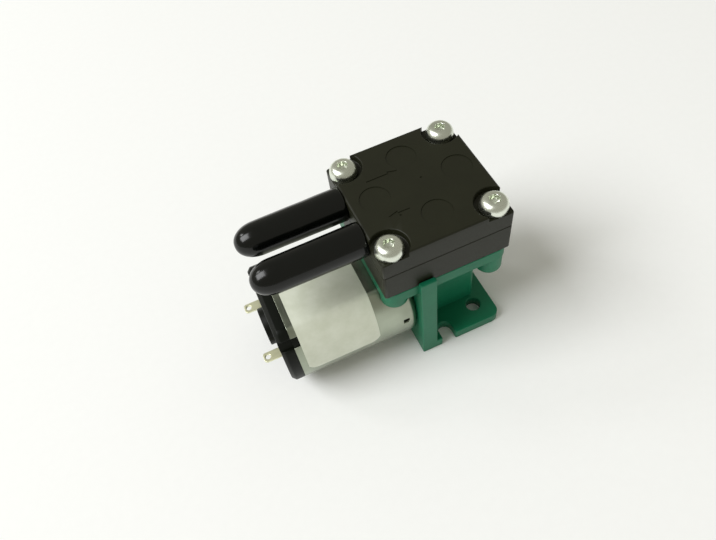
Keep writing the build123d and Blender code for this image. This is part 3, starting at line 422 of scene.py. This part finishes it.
def grazing_edges(mesh, sharp):
    """Sharp edges that leave a corner almost side by side, with no room for two roundings between them."""
    found = set()
    for corner in mesh.verts:
        ends = [(edge, edge.other_vert(corner).co - corner.co) for edge in corner.link_edges if edge in sharp]
        for index, (edge, way) in enumerate(ends):
            for other, other_way in ends[index + 1:]:
                if way.angle(other_way) < GRAZE_ANGLE:
                    found.update((edge, other))
    return found


def faulty_corners(surface, data, width):
    """Where corners of the rounded mesh have left the surface, lie beside such a one or on a folded face."""
    strayed = [surface.find_nearest(v.co)[3] > STRAY * width for v in data.vertices]
    found = set()
    for edge in data.edges:
        if any(strayed[k] for k in edge.vertices):
            found.update(edge.vertices)
    data.calc_loop_triangles()
    for triangle in data.loop_triangles:
        if triangle.normal.dot(data.polygons[triangle.polygon_index].normal) < 0:
            found.update(triangle.vertices)
    return [data.vertices[k].co for k in found]


def is_near(place, edge, reach):
    """Whether a place lies within reach of an edge."""
    start, end = (v.co for v in edge.verts)
    nearest, share = intersect_point_line(place, start, end)
    nearest = start if share < 0 else end if share > 1 else nearest
    return (nearest - place).length < reach


def round_edges(mesh, width):
    """Rounds the sharp edges by width, as a mould or a tool leaves them, where there is room for it."""
    mesh.edges.layers.float.new("bevel_weight_edge")
    surface = BVHTree.FromBMesh(mesh)
    sharp = {edge for edge in mesh.edges if edge.calc_face_angle(0) > EDGE_ANGLE}
    sharp -= grazing_edges(mesh, sharp)
    crowded = sharp
    while crowded:
        data = rounded(mesh, sharp, width)
        faults = faulty_corners(surface, data, width)
        crowded = {edge for edge in sharp if any(is_near(place, edge, width) for place in faults)}
        sharp -= crowded
    mesh.clear()
    mesh.from_mesh(data)


def smooth_faces(piece):
    """Shades round faces smooth and keeps the flat ones flat."""
    mesh = bmesh.new()
    mesh.from_mesh(piece.data)
    mesh.normal_update()
    for face in mesh.faces:
        face.smooth = True
    for edge in mesh.edges:
        edge.smooth = edge.calc_face_angle(math.pi) < CREASE_ANGLE
    mesh.to_mesh(piece.data)
    mesh.free()
    weighted = piece.modifiers.new("flat_faces", "WEIGHTED_NORMAL")
    weighted.keep_sharp = True
    weighted.weight = LARGE_FACE_SAY
    apply_modifiers(piece)


def softened(node, name):
    """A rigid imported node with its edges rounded."""
    mesh = clean_mesh(node)
    round_edges(mesh, EDGES[node] * MM)
    piece = new_piece(mesh, name, node)
    smooth_faces(piece)


def ring_of(mesh, count, place):
    """A closed ring of vertices. place gives each one's position from its angle."""
    return [mesh.verts.new(Vector(place(2 * math.pi * k / count)) * MM) for k in range(count)]


def join_rings(mesh, first, second):
    """A band of faces between two rings."""
    count = len(first)
    for k in range(count):
        mesh.faces.new((first[k], first[(k + 1) % count], second[(k + 1) % count], second[k]))


def close_form(mesh, rings, ends):
    """Joins rings into one closed form, with a fan of faces from the first and the last to a point each."""
    for first, second in zip(rings, rings[1:]):
        join_rings(mesh, first, second)
    for ring, end in zip((rings[0], rings[-1]), ends):
        point = mesh.verts.new(Vector(end) * MM)
        for k, corner in enumerate(ring):
            mesh.faces.new((corner, ring[(k + 1) % len(ring)], point))


def engraving(outline, depth):
    """A prism that cuts an outline into the cover's top."""
    mesh = bmesh.new()
    low = [mesh.verts.new(Vector((x, y, COVER_TOP - depth)) * MM) for x, y in outline]
    high = [mesh.verts.new(Vector((x, y, COVER_TOP + depth)) * MM) for x, y in outline]
    mesh.faces.new(low)
    mesh.faces.new(high)
    join_rings(mesh, low, high)
    bmesh.ops.recalc_face_normals(mesh, faces=mesh.faces)
    data = bpy.data.meshes.new("engraving")
    mesh.to_mesh(data)
    mesh.free()
    return new_object("engraving", data)


def circle(middle, radius, count):
    """The corners of a circle."""
    x, y = middle
    angles = [2 * math.pi * k / count for k in range(count)]
    return [(x + radius * math.cos(a), y + radius * math.sin(a)) for a in angles]


def arrow(start, end, y):
    """The corners of a straight arrow along X."""
    way = 1 if end > start else -1
    neck = end - way * ARROW_HEAD_LENGTH
    half = ARROW_LINE / 2
    wing = ARROW_HEAD_WIDTH / 2
    near = [(start, y - half), (neck, y - half), (neck, y - wing)]
    far = [(neck, y + wing), (neck, y + half), (start, y + half)]
    return near + [(end, y)] + far


def cut_out(piece, cutters):
    """Cuts the cutters out of a piece one by one, and removes them."""
    for cutter in cutters:
        cut = piece.modifiers.new("cut", "BOOLEAN")
        cut.operation = "DIFFERENCE"
        cut.solver = "EXACT"
        cut.object = cutter
    apply_modifiers(piece)
    for cutter in cutters:
        bpy.data.objects.remove(cutter)


def even_faces(piece):
    """Joins a cut piece's flat faces and divides them into triangles, so that they shade evenly."""
    mesh = bmesh.new()
    mesh.from_mesh(piece.data)
    join_flat(mesh)
    bmesh.ops.triangulate(mesh, faces=mesh.faces)
    mesh.to_mesh(piece.data)
    mesh.free()


def make_cover():
    """The head's cover, with its sunk pads, flow arrows and mould dots."""
    mesh = clean_mesh("head_cover")
    round_edges(mesh, COVER_EDGE * MM)
    piece = new_piece(mesh, "head_cover_moulding", "head_cover")
    cutters = [engraving(circle(middle, PAD_RADIUS, ROUND_STEPS), PAD_DEPTH) for middle in PAD_MIDDLES]
    cutters += [engraving(arrow(*line), MARK_DEPTH) for line in ARROWS]
    cutters += [engraving(circle(middle, DOT_RADIUS, DOT_STEPS), MARK_DEPTH) for middle in DOTS]
    cut_out(piece, cutters)
    even_faces(piece)
    smooth_faces(piece)


def even(radius):
    """The same radius at every angle."""
    return lambda angle: radius


def lobed(angle):
    """The radius of the six-lobed drive recess at an angle."""
    return LOBE_RADIUS - LOBE_DEPTH * (1 - math.cos(LOBES * angle)) / 2


def threaded(z, tip):
    """The shank's radius at a height and each angle, round its rolled thread."""
    taper = min(1.0, TAPER_START + (z - tip) / (TAPER_TURNS * THREAD_PITCH))

    def radius(angle):
        phase = (z / THREAD_PITCH - angle / (2 * math.pi)) % 1.0
        return (SCREW_SHANK / 2 - THREAD_DEPTH * abs(2 * phase - 1) ** THREAD_CREST) * taper

    return radius


def shank_profile(tip, seat):
    """Heights and radii up a screw's shank, from its blunt tip to the seat of its head."""
    shank = SCREW_SHANK / 2
    length = seat - tip
    steps = int(length / THREAD_PITCH * THREAD_STEPS)
    heights = [tip + THREAD_MARGIN + k * (length - 2 * THREAD_MARGIN) / steps for k in range(steps)]
    thread = [(z, threaded(z, tip)) for z in heights]
    return [(tip, even(TIP_SHARE * shank))] + thread + [(seat, even(NECK_SHARE * shank))]


def head_profile(seat, top):
    """Heights and radii up a screw's head, over its dome and down into the recess."""
    radius = SCREW_HEAD_WIDTH / 2
    shoulder = seat + HEAD_SIDE_SHARE * (top - seat)
    crown = LOBE_RADIUS + RIM_SOFTNESS
    profile = [(seat, even(radius - HEAD_RIM)), (seat + HEAD_RIM, even(radius)), (shoulder, even(radius))]
    for k in range(1, DOME_STEPS):
        share = k / DOME_STEPS
        rise = (top - shoulder) * math.sin(share * math.pi / 2) ** DOME_FULLNESS
        profile.append((shoulder + rise, even(radius - (radius - crown) * share ** DOME_CURVE)))
    profile.append((top, lambda angle: lobed(angle) + RIM_SOFTNESS))
    profile.append((top - RIM_SOFTNESS, lobed))
    profile.append((top - RECESS_DEPTH, lambda angle: lobed(angle) - RECESS_DRAFT))
    return profile


def add_screw(mesh, x, y, tip, top):
    """One screw, from the middle of its tip round the outside to the middle of its recess."""
    seat = top - SCREW_HEAD_HEIGHT
    rings = []
    for z, radius in shank_profile(tip, seat) + head_profile(seat, top):
        def place(angle, z=z, radius=radius):
            return (x + radius(angle) * math.cos(angle), y + radius(angle) * math.sin(angle), z)
        rings.append(ring_of(mesh, ROUND_STEPS, place))
    close_form(mesh, rings, ((x, y, tip), (x, y, top - RECESS_DEPTH - RECESS_CONE)))


def make_screws():
    """The four pan-head screws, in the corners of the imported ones' box."""
    low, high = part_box("head_screws")
    far_x = high.x / MM - SCREW_HEAD_WIDTH / 2
    far_y = high.y / MM - SCREW_HEAD_WIDTH / 2
    mesh = bmesh.new()
    for x in (-far_x, far_x):
        for y in (-far_y, far_y):
            add_screw(mesh, x, y, low.z / MM, high.z / MM)
    bmesh.ops.recalc_face_normals(mesh, faces=mesh.faces)
    piece = new_piece(mesh, "head_screws_plated", "head_screws")
    smooth_faces(piece)


def cap_profile(tip, mouth, outside):
    """Places along X and radii of a cap, from the end of its bore round the lip and along to its tip."""
    bore = CAP_BORE / 2
    bore_end = mouth - CAP_BORE_DEPTH
    lip_end = mouth - CAP_LIP
    profile = [(bore_end, bore * BORE_END_SHARE), (bore_end + CAP_BORE_ROUND, bore), (lip_end, bore)]
    profile.append((mouth, bore + LIP_FLARE))
    profile += [(mouth - back, outside - under) for back, under in LIP_ROUNDING]
    barrel = lip_end - (tip + CAP_DOME_LENGTH)
    wall = outside - CAP_WAVE
    for k in range(1, CAP_BARREL_STEPS):
        share = k / CAP_BARREL_STEPS
        profile.append((lip_end - barrel * share, wall - CAP_TAPER * share))
    for k in range(CAP_DOME_STEPS):
        angle = k * math.pi / 2 / CAP_DOME_STEPS
        x = tip + CAP_DOME_LENGTH * (1 - math.sin(angle))
        profile.append((x, (wall - CAP_TAPER) * math.cos(angle) ** CAP_DOME_FULLNESS))
    return profile


def cap_ring(mesh, x, y, z, radius, waves):
    """One ring of a cap. Where it waves, its radius changes a little with the angle."""
    def place(angle):
        across = math.cos(angle)
        up = math.sin(angle)
        spot = Vector((x, CAP_WAVE_ROUND * across, CAP_WAVE_ROUND * up + y)) / CAP_WAVE_SPACING
        grown = radius + (CAP_WAVE * noise.noise(spot) if waves else 0)
        return (x, y + grown * across, z + grown * up)

    return ring_of(mesh, CAP_ROUND_STEPS, place)


def make_cap(node, name):
    """One dip-moulded cap: a lip at the open end, a barrel with faint waves, and a long rounded end."""
    low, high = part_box(node)
    y = (low.y + high.y) / 2 / MM
    z = (low.z + high.z) / 2 / MM
    tip = low.x / MM
    mouth = high.x / MM
    wave_from = CAP_BORE / 2 + CAP_WAVE_FROM
    mesh = bmesh.new()
    rings = []
    for x, radius in cap_profile(tip, mouth, (high.y - low.y) / 2 / MM):
        waves = radius > wave_from and x < mouth - CAP_LIP
        rings.append(cap_ring(mesh, x, y, z, radius, waves))
    close_form(mesh, rings, ((mouth - CAP_BORE_DEPTH, y, z), (tip, y, z)))
    bmesh.ops.recalc_face_normals(mesh, faces=mesh.faces)
    piece = new_piece(mesh, name, node)
    smooth_faces(piece)


def make_camera():
    """The camera, with its direction as azimuth, elevation and roll."""
    azimuth, elevation, roll = (math.radians(a) for a in (CAMERA_AZIMUTH, CAMERA_ELEVATION, CAMERA_ROLL))
    level = math.cos(elevation)
    out = Vector((level * math.sin(azimuth), -level * math.cos(azimuth), math.sin(elevation)))
    right = Vector((math.cos(azimuth), math.sin(azimuth), 0))
    up = out.cross(right)
    turned_right = right * math.cos(roll) + up * math.sin(roll)
    turned_up = up * math.cos(roll) - right * math.sin(roll)
    data = bpy.data.cameras.new("photo_camera")
    data.sensor_width = SENSOR_WIDTH
    data.lens = LENS
    data.clip_start = CAMERA_NEAR * MM
    camera = new_object("photo_camera", data)
    turned = Matrix((turned_right, turned_up, out)).transposed().to_4x4()
    camera.matrix_world = Matrix.Translation(Vector(CAMERA_PLACE) * MM) @ turned
    bpy.context.scene.camera = camera


def make_light(name, direction, size, watts, colour):
    """A soft box in one direction from the pump's middle, facing it."""
    data = bpy.data.lights.new(name, "AREA")
    data.shape = "RECTANGLE"
    data.size, data.size_y = (side * MM for side in size)
    data.energy = watts
    data.color = srgb(colour)[:3]
    lamp = new_object(name, data)
    target = Vector(PUMP_MIDDLE) * MM
    lamp.location = target + Vector(direction).normalized() * LIGHT_DISTANCE * MM
    lamp.rotation_euler = (lamp.location - target).to_track_quat("Z", "Y").to_euler()


def make_floor():
    """A wide sheet of card under the pump."""
    half = FLOOR_HALF * MM
    z = -FLOOR_GAP * MM
    corners = [(x, y, z) for x, y in ((-half, -half), (half, -half), (half, half), (-half, half))]
    mesh = bpy.data.meshes.new("floor")
    mesh.from_pydata(corners, [], [(0, 1, 2, 3)])
    floor = new_object("floor", mesh)
    # Matt card: nearly white, with the faint mottle of its fibres
    made, tree, shader, mm = new_material("card_white_matt", {"Roughness": CARD_ROUGHNESS})
    fibre = add(tree, "TexNoise", {"Vector": mm, "Scale": 1 / CARD_FIBRE, "Detail": 3.0})
    tree.links.new(mixed(tree, fibre.outputs[0], *CARD_COLOURS), shader.inputs["Base Color"])
    mesh.materials.append(made)


def make_world():
    """An even, dim room."""
    world = bpy.data.worlds.new("room")
    bpy.context.scene.world = world
    world.use_nodes = True
    background = world.node_tree.nodes["Background"]
    background.inputs["Color"].default_value = srgb(ROOM_COLOUR)
    background.inputs["Strength"].default_value = ROOM_STRENGTH


make_camera()
make_world()
make_floor()
for name, light in LIGHTS.items():
    make_light(name, *light)

finishes = plastic_finishes() | metal_finishes()
for node in EDGES:
    softened(node, node + "_finished")
make_cover()
make_screws()
make_cap("inlet_cap", "inlet_cap_dipped")
make_cap("outlet_cap", "outlet_cap_dipped")
for node, piece in frame["nodes"].items():
    piece.data.materials.clear()
    piece.data.materials.append(finishes[SLOT_OF[node]])

bpy.context.scene.view_settings.view_transform = "Standard"
